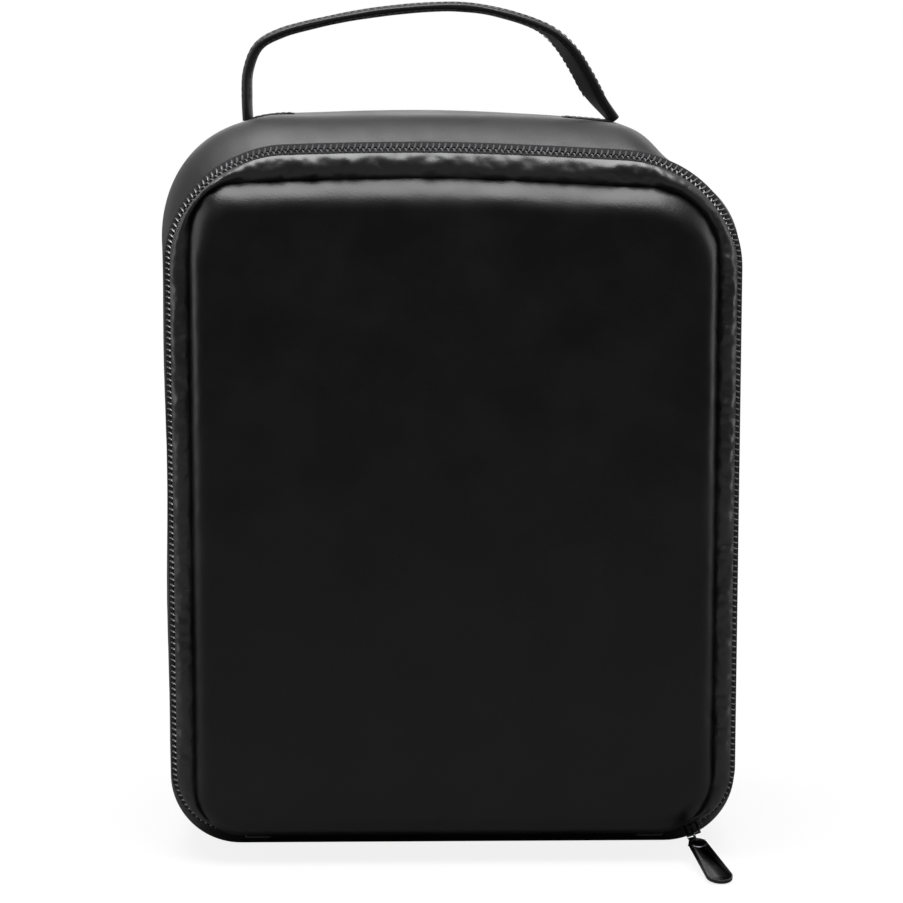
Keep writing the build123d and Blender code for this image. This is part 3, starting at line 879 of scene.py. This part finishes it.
def tape_sheet(name, stations, rows):
    """A ribbon along the zip whose section goes through these (inset, depth) stations."""
    insets, depths = np.array(stations).T
    steps = np.concatenate([[0], np.cumsum(np.hypot(np.diff(insets), np.diff(depths)))])

    def place(u, v):
        across = v * steps[-1]
        return zip_points(u, np.interp(across, steps, insets), np.interp(across, steps, depths))

    return laid_sheet(name, 420, rows, place, (walk_length(), steps[-1]))


print("middle of the chain:", [round(value, 5) for value in zip_section(0, 0)])

# %% [markdown]
# Each half of the zip is sewn to a woven tape. The bag's tape turns down to the wall's seam, and the door's tape
# goes flat behind the border. Each is a ribbon through a few points of the section.

# %% Tapes
tape_thickness = 0.5 * mm
tape_near, tape_far = 0.7 * mm, 4.2 * mm
seam_point = (edge_inset + leather / 2, inner_plane)
bag_tape = tape_sheet("bag_zip_tape", [zip_section(tape_near, 0), zip_section(tape_far, 0), seam_point], 10)
thicken(bag_tape, tape_thickness)
hand_over(bag_tape, "zip_tape", "bag", ["body_zip_tape"])
door_turn = zip_section(-tape_far, 0)
door_tape = tape_sheet("door_zip_ribbon", [(14 * mm, door_turn[1]), door_turn, zip_section(-tape_near, 0)], 12)
thicken(door_tape, tape_thickness)
hand_over(door_tape, "zip_tape", "door", ["door_zip_tape"])

# %% [markdown]
# A coil tooth is a small rounded loop of nylon, slanted and bowed as the coil's turns are. It is shaped once, from a
# sphere with few faces, because the chain repeats it hundreds of times.

# %% One coil tooth
only(None)
bpy.ops.mesh.primitive_uv_sphere_add(segments=8, ring_count=6, radius=1, location=(0, 0, 0),
                                     rotation=(quarter_turn, 0, 0))
tooth = bpy.context.active_object
bpy.ops.object.transform_apply(location=False, rotation=True, scale=False)
ball = points_of(tooth)
slant, bow_per_metre = 0.32, 140.0
reach, breadth, thick = 1.75 * mm, 0.6 * mm, 1.05 * mm
head = 1.0 - 0.16 * ball[:, 1]
ball = np.stack([
    ball[:, 0] * breadth * head, np.sign(ball[:, 1]) * np.abs(ball[:, 1]) ** 0.8 * reach, ball[:, 2] * thick,
], axis=1)
ball[:, 0] += slant * ball[:, 1] - bow_per_metre * ball[:, 1] ** 2
tooth_faces = [list(face.vertices) for face in tooth.data.polygons]
bpy.data.objects.remove(tooth)
print("faces of one tooth:", len(tooth_faces))

# %% [markdown]
# The chain is that tooth at every place along the walk, on one side for the bag and, half a pitch on, the other for
# the door. The door's teeth that would lie inside the slider are left out.


# %% The chain
def repeated(name, shape, faces, places, axes):
    """One mesh of the shape at every place, with its x, y and z along the three axes there."""
    points = places[:, None, :]
    for n, axis in enumerate(axes):
        points = points + shape[None, :, n, None] * axis[:, None, :]
    all_faces = [[v + len(shape) * n for v in corner] for n in range(len(places)) for corner in faces]
    mesh = bpy.data.meshes.new(name)
    mesh.from_pydata(points.reshape(-1, 3).tolist(), [], all_faces)
    made = bpy.data.objects.new(name, mesh)
    bpy.context.scene.collection.objects.link(made)
    return made


def chain(name, offset, flip, walks, longer=1.0, lower=1.0):
    """The tooth at each walk, set off the chain's middle towards the bag or the door."""
    step = 0.0004
    inset, depth = zip_section(0, 0)
    middle = zip_points(walks, inset, depth)
    ahead = zip_points(walks + step, inset, depth) - zip_points(walks - step, inset, depth)
    ahead /= np.linalg.norm(ahead, axis=1)[:, None]
    out = np.stack([-ahead[:, 2], np.zeros(len(walks)), ahead[:, 0]], axis=1)
    back = np.array([0.0, 1.0, 0.0])
    toward = (out + back) * slope
    face = (out - back) * slope
    shape = ball * np.array([1, flip * longer, lower])
    faces = [corner if flip > 0 else corner[::-1] for corner in tooth_faces]
    return repeated(name, shape, faces, middle + toward * offset, (ahead, toward, face))


pitch = 2.8 * mm
chain_end = base_radius * math.radians(13) / walk_length()
count = int((1 - 2 * chain_end) * walk_length() / pitch)
bag_walks = chain_end + (np.arange(count) + 0.5) * pitch / walk_length()
door_walks = bag_walks + 0.5 * pitch / walk_length()
slider_from = 1 - base_radius * math.radians(30) / walk_length()
slider_to = 1 - base_radius * math.radians(9) / walk_length()
in_slider = (door_walks > slider_from) & (door_walks < slider_to)
bag_chain = chain("bag_zip_coil", 0.75 * mm, 1, bag_walks, longer=1.24)
hand_over(bag_chain, "zip_coil", "bag", ["body_zip_teeth"])
door_chain = chain("door_zip_coil", -1.5 * mm, -1, door_walks[~in_slider], longer=0.8, lower=0.85)
hand_over(door_chain, "zip_coil", "door", ["door_zip_teeth"])
print("teeth on each side:", count)

# %% [markdown]
# ## Slider, link and pull
# These small metal castings start as copies of the frame's own solids. Merging their loose triangles and
# dissolving flat edges gives clean faces, and a bevel rounds them as a tumbled casting is.


# %% Copy and round
def rounded_copy(node, name, bevel, segments=2):
    """A copy of one of the frame's parts, cleaned and with rounded edges."""
    only(None)
    made = frame["nodes"][node].copy()
    made.data = made.data.copy()
    made.parent = None
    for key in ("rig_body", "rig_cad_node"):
        if key in made:
            del made[key]
    bpy.context.scene.collection.objects.link(made)
    made.hide_render = made.hide_viewport = False
    made.name = made.data.name = name
    only(made)
    bpy.ops.object.mode_set(mode="EDIT")
    bpy.ops.mesh.select_all(action="SELECT")
    bpy.ops.mesh.remove_doubles(threshold=same_place)
    bpy.ops.mesh.dissolve_limited(angle_limit=math.radians(1.5))
    bpy.ops.object.mode_set(mode="OBJECT")
    use_modifier(made, "BEVEL", width=bevel, segments=segments, limit_method="ANGLE", angle_limit=math.radians(35))
    return made


slider_body = rounded_copy("zip_slider", "slider_body", 0.3 * mm)
hand_over(slider_body, "dark_metal", "slider", ["zip_slider"], angle=40)
slider_loop = rounded_copy("slider_bridge", "slider_loop", 0.35 * mm)
hand_over(slider_loop, "dark_metal", "slider", ["slider_bridge"], angle=40)
link_ring = rounded_copy("pull_link", "link_ring", 0.4 * mm, 3)
hand_over(link_ring, "dark_metal", "link", ["pull_link"], angle=60)

# %% [markdown]
# The pull is a flat casting whose two broad faces are sunk inside a raised rim. The two largest faces are inset
# once for the rim and once more, downwards, for the step.

# %% Pull
rim_width, rim_step, rim_depth = 1.0 * mm, 0.25 * mm, 0.3 * mm
pull_plate = rounded_copy("zip_pull", "pull_plate", 0.45 * mm, 3)
only(pull_plate)
bpy.ops.object.mode_set(mode="EDIT")
bpy.ops.mesh.select_mode(type="FACE")
bpy.ops.mesh.select_all(action="DESELECT")
bpy.ops.object.mode_set(mode="OBJECT")
for face in sorted(pull_plate.data.polygons, key=lambda face: face.area)[-2:]:
    face.select = True
bpy.ops.object.mode_set(mode="EDIT")
bpy.ops.mesh.inset(thickness=rim_width, depth=0.0, use_individual=True)
bpy.ops.mesh.inset(thickness=rim_step, depth=-rim_depth, use_individual=True)
bpy.ops.mesh.select_mode(type="VERT")
bpy.ops.object.mode_set(mode="OBJECT")
hand_over(pull_plate, "dark_metal", "pull", ["zip_pull"], angle=40)

# %% [markdown]
# Three small parts of the bag come from the frame in the same way: the metal stops at the zip's ends, the leather
# covers folded over those ends, and the board that stiffens the base.

# %% Stops, covers and base board
for name, node, slot, bevel in (("zip_end_stops", "zip_stops", "dark_metal", 0.2 * mm),
                                ("zip_end_covers", "zip_end_tabs", "outer_leather", 0.5 * mm),
                                ("base_stiffener", "base_board", "stiffener_board", 0.5 * mm)):
    hand_over(rounded_copy(node, name, bevel), slot, "bag", [node], angle=40)

# %% [markdown]
# ## Hinge
# Under the door a strip of cloth is the hinge. It belongs half to the bag and half to the door. It is one sheet, laid
# in its bent shape and parented to neither.

# %% Hinge cloth
hinge_low, hinge_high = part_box("hinge_strip_base")
flap_low, flap_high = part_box("hinge_strip_door")
hinge_half = hinge_high.x
hinge_line = np.array([
    (hinge_high.y, hinge_low.z + 0.4 * mm), (-66 * mm, 12.6 * mm), (-69 * mm, 12.5 * mm),
    (flap_low.y + 1.0 * mm, 13.4 * mm), (flap_low.y + 0.4 * mm, flap_high.z),
])


def hinge_place(u, v):
    steps = np.linspace(0, 1, len(hinge_line))
    y, z = np.interp(v, steps, hinge_line[:, 0]), np.interp(v, steps, hinge_line[:, 1])
    return np.stack([hinge_half * (2 * u - 1), y, z], axis=1)


hinge = laid_sheet("hinge_cloth", 60, 16, hinge_place, (2 * hinge_half, 12 * mm))
thicken(hinge, 0.8 * mm)
hand_over(hinge, "binding_tape", None, ["hinge_strip_base", "hinge_strip_door"],
          blend=("bag", "door", (0, -67 * mm, 12.5 * mm), (0, -70.4 * mm, 12.5 * mm)))

# %% [markdown]
# ## The strap
# The strap is leather folded round a core of webbing, and sewn along both edges. It stands up in a lopsided arch.
# Its section is a flat oval with a shallow furrow where the stitches run.


# %% Strap line
def through(points, count):
    """A smooth line through the points (Catmull-Rom), evenly spaced."""
    points = np.array(points, float)
    padded_points = np.vstack([2 * points[0] - points[1], points, 2 * points[-1] - points[-2]])
    line = []
    for n in range(1, len(padded_points) - 2):
        a, b, c, d = padded_points[n - 1:n + 3]
        for t in np.linspace(0, 1, 24, endpoint=False):
            line.append(0.5 * (2 * b + (c - a) * t + (2 * a - 5 * b + 4 * c - d) * t ** 2
                               + (3 * b - a - 3 * c + d) * t ** 3))
    line = np.array(line + [points[-1]])
    run = np.concatenate([[0], np.cumsum(np.linalg.norm(np.diff(line, axis=0), axis=1))])
    even = np.linspace(0, run[-1], count)
    return np.stack([np.interp(even, run, line[:, n]) for n in range(2)], axis=1), run[-1]


strap_knots = [
    (-98.8, 351.0), (-99.2, 362), (-98.4, 375), (-93.5, 386.5), (-83, 392.8), (-69, 396.8), (-49, 401),
    (-30, 403.8), (-10, 405.5), (5, 405.5), (20, 403.6), (37, 398.8), (48, 393.4), (56.5, 385.0), (63.5, 374.0),
    (70, 362.5), (79, 351.5),
]
strap_line, strap_length = through([(x * mm, z * mm) for x, z in strap_knots], 240)
strap_runs = np.gradient(strap_line, axis=0)
strap_runs /= np.linalg.norm(strap_runs, axis=1)[:, None]
print("strap's arch:", round(strap_length, 4), "long")


def strap_frame(share):
    """Middle point and direction of the strap at a share of its length."""
    steps = np.linspace(0, 1, len(strap_line))
    x, z = (np.interp(share, steps, strap_line[:, n]) for n in range(2))
    run_x, run_z = (np.interp(share, steps, strap_runs[:, n]) for n in range(2))
    return x, z, run_x, run_z


def strap_twist(share):
    """The strap's right leg is turned a little, so that its inner face shows."""
    return math.radians(20) * ease((share - 0.6) / 0.2) * ease((1.04 - share) / 0.12)


def strap_place(half_width, half_thick, furrow):
    """The strap's section is a flat oval, with a furrow near each edge where the stitches lie."""
    def place(u, v):
        x, z, run_x, run_z = strap_frame(u)
        angle = -2 * math.pi * v
        across = np.sign(np.cos(angle)) * np.abs(np.cos(angle)) ** 0.55
        thick = np.sign(np.sin(angle)) * np.abs(np.sin(angle)) ** 0.7
        groove = furrow * np.exp(-(((np.abs(across) - 0.8) / 0.05) ** 2)) * np.sign(thick)
        spots = np.stack([u * strap_length, across * 0.012, thick * 0.002], axis=1)
        ripple = 0.16 * mm * rumple(spots, 0.014, 31) if furrow else 0.0
        rise = half_thick * thick * (1 + 0.1 * (1 - across ** 2)) - groove + ripple * np.sign(thick)
        twist = strap_twist(u)
        lean = -half_width * across * np.sin(twist)
        rise = rise * np.cos(twist)
        foot = 1 - 0.12 * np.exp(-u * strap_length / (9 * mm)) - 0.12 * np.exp(-(1 - u) * strap_length / (9 * mm))
        width = half_width * across * foot * np.cos(twist) + half_thick * thick * np.sin(twist)
        return np.stack([x - run_z * rise + np.abs(run_z) * lean, width, z + run_x * rise], axis=1)
    return place


# %% [markdown]
# The cover and the core are two tubes on the same line. Their ends are filled, and the strap is left where it lies,
# parented to neither the bag nor the handle.

# %% Strap and its core
strap_bend = ("bag", "handle", (0, 0, 0.3555), (0, 0, 0.3735))
strap = laid_sheet("strap_leather_cover", 240, 56, strap_place(12 * mm, 2.2 * mm, 0.28 * mm),
                   (strap_length, 56 * mm), merge=True)
fill_ends(strap)
turn_outwards(strap)
hand_over(strap, "strap_leather", None, ["handle_cover"], blend=strap_bend)
core = laid_sheet("strap_webbing_core", 160, 16, strap_place(9.2 * mm, 0.8 * mm, 0.0), (strap_length, 42 * mm),
                  merge=True)
fill_ends(core)
turn_outwards(core)
hand_over(core, "webbing", None, ["handle_webbing"], blend=strap_bend)

# %% [markdown]
# Two rows of stitches hold the strap together. A stitch is a short plump thread that dips into the furrow at
# both ends. It is made from a small sphere and repeated along the edge.


# %% Stitches
def stitches(name, places, ways, ups, length=2.5 * mm, thick=0.2 * mm):
    """A stitch at each place, lying along its way, on a surface that faces up."""
    only(None)
    bpy.ops.mesh.primitive_uv_sphere_add(segments=6, ring_count=5, radius=1)
    one = bpy.context.active_object
    shape = points_of(one) * np.array([thick * 0.9, thick, length / 2])
    faces_of_one = [list(face.vertices) for face in one.data.polygons]
    bpy.data.objects.remove(one)
    made = repeated(name, shape, faces_of_one, places, (np.cross(ways, ups), ups, ways))
    turn_outwards(made)
    return made


stitch_pitch = 3.2 * mm
shares = (np.arange(int((strap_length - 24 * mm) / stitch_pitch)) * stitch_pitch + 12 * mm) / strap_length
x, z, run_x, run_z = strap_frame(shares)
way = np.stack([run_x, 0 * x, run_z], axis=1)
up = np.stack([-run_z, 0 * x, run_x], axis=1)
middle = np.stack([x, 0 * x, z], axis=1)
twists = strap_twist(shares)[:, None]
spots, ways, ups = [], [], []
for edge in (-9.6 * mm, 9.6 * mm):
    for face in (1, -1):
        leaning = np.stack([-np.abs(run_z) * edge * np.sin(twists[:, 0]), edge * np.cos(twists[:, 0]), 0 * x], axis=1)
        spots.append(middle + up * face * 1.95 * mm * np.cos(twists) + leaning)
        ways.append(way)
        ups.append(up * face)
strap_thread = stitches("strap_stitches", np.vstack(spots), np.vstack(ways), np.vstack(ups))
hand_over(strap_thread, "strap_leather", None, finish=thread_finish, blend=strap_bend)

# %% [markdown]
# Each end of the strap goes into a tab that is sewn flat on the bag's top, with a patch inside the bag to take
# the strain.


# %% Tabs and patches
def walk_at(across):
    """The walk of a place on the bag's top, for an across position in metres."""
    candidates = np.linspace(0.25, 0.75, 4001)
    wide = top_radius + side_swell
    x, _, _, _ = rounded(candidates, zip_half + side_swell, zip_rise, zip_top + top_swell,
                         (base_radius, wide, wide, base_radius))
    return float(candidates[np.argmin(np.abs(x - across))])


tab_low, tab_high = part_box("handle_tabs")
tab_half = tab_high.y
tab_thick = 0.7 * mm
nudge = 0.01
stitch_rows = []
for side, start, end in (("left", -100.2 * mm, -76 * mm), ("right", 54 * mm, 78.6 * mm)):
    walk_from, walk_to = walk_at(start), walk_at(end)

    def tab_place(u, v, walk_from=walk_from, walk_to=walk_to):
        round_end = 1 - 0.16 * np.abs(2 * u - 1) ** 6
        walk = walk_from + (walk_to - walk_from) * (0.5 + (u - 0.5) * (1 - 0.1 * np.abs(2 * v - 1) ** 6))
        depth = tab_half * (2 * v - 1) * round_end
        return wall_points(walk, depth, -tab_thick)

    tab = laid_sheet("strap_tab_" + side, 26, 22, tab_place, (end - start, 2 * tab_half))
    thicken(tab, tab_thick - 0.15 * mm)
    use_modifier(tab, "BEVEL", width=0.6 * mm, segments=3, limit_method="ANGLE", angle_limit=0.9)
    hand_over(tab, "strap_leather", "bag", ["handle_tabs"] if side == "left" else ())
    edge_walks = np.linspace(0.12, 0.88, 7)
    box = [(u, 0.12) for u in edge_walks] + [(u, 0.88) for u in edge_walks]
    turns = [(1, 0)] * len(box)
    box += [(0.1, v) for v in edge_walks] + [(0.9, v) for v in edge_walks]
    turns += [(0, 1)] * (2 * len(edge_walks))
    box = np.array(box)
    turns = np.array(turns)
    here = tab_place(box[:, 0], box[:, 1])
    ahead = tab_place(box[:, 0] + nudge * turns[:, 0], box[:, 1] + nudge * turns[:, 1]) - here
    ahead /= np.linalg.norm(ahead, axis=1)[:, None]
    sideways = tab_place(box[:, 0] + nudge, box[:, 1]) - here
    depthways = tab_place(box[:, 0], box[:, 1] + nudge) - here
    normal = np.cross(sideways, depthways)
    normal /= np.linalg.norm(normal, axis=1)[:, None]
    stitch_rows.append((here + normal * 0.02 * mm, ahead, normal))
tab_thread = stitches("tab_stitches", *(np.vstack([row[n] for row in stitch_rows]) for n in range(3)))
hand_over(tab_thread, "strap_leather", "bag", finish=thread_finish)
for side, start, end in (("left", -105 * mm, -72 * mm), ("right", 52 * mm, 84 * mm)):
    patch, _ = wall_sheet("inner_patch_" + side, 24, 20, inner_inset, start=walk_at(start), end=walk_at(end),
                          front=-16 * mm, back=16 * mm)
    thicken(patch, 1 * mm)
    hand_over(patch, "outer_leather", "bag", ["handle_patches"] if side == "left" else ())

# %% [markdown]
# ## Floor, light and camera
# The bag stands on a white floor under a wide soft lamp, with weaker lamps on both sides. The world is white only
# where the camera looks past the bag, and gives a dim, even light otherwise.

# %% Floor
only(None)
bpy.ops.mesh.primitive_plane_add(size=12, location=(0, 0, 0))
floor = bpy.context.active_object
floor.name = "floor"
floor_finish = bpy.data.materials.new("floor white")
floor_finish.use_nodes = True
floor_tree = floor_finish.node_tree
floor_shader = floor_tree.nodes["Principled BSDF"]
floor_shader.inputs["Roughness"].default_value = 0.9
floor_shader.inputs["Specular IOR Level"].default_value = 0.0
seen = floor_tree.nodes.new("ShaderNodeLightPath").outputs["Is Camera Ray"]
floor_tree.links.new(between(floor_tree, (0.2, 0.2, 0.2), (0.9, 0.9, 0.9), seen), floor_shader.inputs["Base Color"])
glow = floor_tree.nodes.new("ShaderNodeEmission")
glow.inputs["Color"].default_value = (1, 1, 1, 1)
glow.inputs["Strength"].default_value = 1.0
from_bag = floor_tree.nodes.new("ShaderNodeVectorMath")
from_bag.operation = "LENGTH"
floor_tree.links.new(floor_tree.nodes.new("ShaderNodeTexCoord").outputs["Object"], from_bag.inputs[0])
share_of_glow = calc(floor_tree, "MULTIPLY", seen, ranged(floor_tree, from_bag.outputs["Value"], 0.15, 0.9, 0.86, 1.0))
floor_mix = floor_tree.nodes.new("ShaderNodeMixShader")
floor_tree.links.new(share_of_glow, floor_mix.inputs[0])
floor_tree.links.new(floor_shader.outputs[0], floor_mix.inputs[1])
floor_tree.links.new(glow.outputs[0], floor_mix.inputs[2])
floor_tree.links.new(floor_mix.outputs[0], floor_tree.nodes["Material Output"].inputs["Surface"])
floor.data.materials.append(floor_finish)
print("floor nodes:", len(floor_tree.nodes))

# %% [markdown]
# The world is an even, dim light, a little stronger behind the bag than in front of it. Is Camera Ray makes it plain
# white wherever the camera sees it, and that adds no light to the bag.

# %% World
world = bpy.data.worlds.new("studio")
bpy.context.scene.world = world
world.use_nodes = True
tree = world.node_tree
for node in list(tree.nodes):
    tree.nodes.remove(node)
out = tree.nodes.new("ShaderNodeOutputWorld")
soft = tree.nodes.new("ShaderNodeBackground")
white = tree.nodes.new("ShaderNodeBackground")
direction = tree.nodes.new("ShaderNodeTexCoord").outputs["Generated"]
split_direction = tree.nodes.new("ShaderNodeSeparateXYZ")
tree.links.new(direction, split_direction.inputs[0])
tree.links.new(ranged(tree, split_direction.outputs[1], -0.4, 0.8, 0.12, 0.62), soft.inputs["Strength"])
soft.inputs["Color"].default_value = (1, 1, 1, 1)
white.inputs["Color"].default_value = (1, 1, 1, 1)
white.inputs["Strength"].default_value = 1.0
path = tree.nodes.new("ShaderNodeLightPath")
either = tree.nodes.new("ShaderNodeMixShader")
tree.links.new(path.outputs["Is Camera Ray"], either.inputs[0])
tree.links.new(soft.outputs[0], either.inputs[1])
tree.links.new(white.outputs[0], either.inputs[2])
tree.links.new(either.outputs[0], out.inputs[0])
print("world nodes:", len(tree.nodes))

# %% [markdown]
# A large softbox over the bag gives the broad highlight on the panel's top edge. One behind lights the top of the
# wall, and two narrow ones at the sides draw the thin lines along the panel's edges.


# %% Lamps
def lamp(name, place, aim, size, power):
    """A rectangular lamp at a place, aimed at a point."""
    data = bpy.data.lights.new(name, "AREA")
    data.shape = "RECTANGLE"
    data.size, data.size_y = size
    data.energy = power
    made = bpy.data.objects.new(name, data)
    bpy.context.scene.collection.objects.link(made)
    made.location = place
    made.rotation_euler = (Vector(aim) - Vector(place)).to_track_quat("-Z", "Y").to_euler()
    print(name, power, "W")


lamp("top softbox", (-0.05, -0.25, 1.35), (0, -0.07, 0.3), (1.3, 0.8), 26)
lamp("back softbox", (0, 1.3, 0.9), (0, 0, 0.34), (1.6, 0.5), 4)
lamp("left softbox", (-1.3, -0.2, 0.5), (0, 0, 0.2), (0.5, 1.0), 3)
lamp("right softbox", (1.3, -0.15, 0.5), (0, 0, 0.2), (0.4, 1.0), 3)

# %% [markdown]
# The camera stands a little above the bag's middle and looks slightly down, through a long lens, so the sides of the
# bag stay nearly parallel.

# %% Camera
camera_data = bpy.data.cameras.new("camera")
camera_data.lens = 112.7
camera_data.sensor_width = 36
camera_data.clip_start = 0.01
camera = bpy.data.objects.new("camera", camera_data)
bpy.context.scene.collection.objects.link(camera)
camera.location = (-0.0286, -1.385, 0.3884)
camera.rotation_euler = (math.radians(90 - 8.23), 0, math.radians(-1.19))
bpy.context.scene.camera = camera
bpy.context.scene.view_settings.view_transform = "Standard"
print("lens:", camera_data.lens, "mm")

# %% [markdown]
# Last, nothing is left selected.

# %% Finish
only(None)
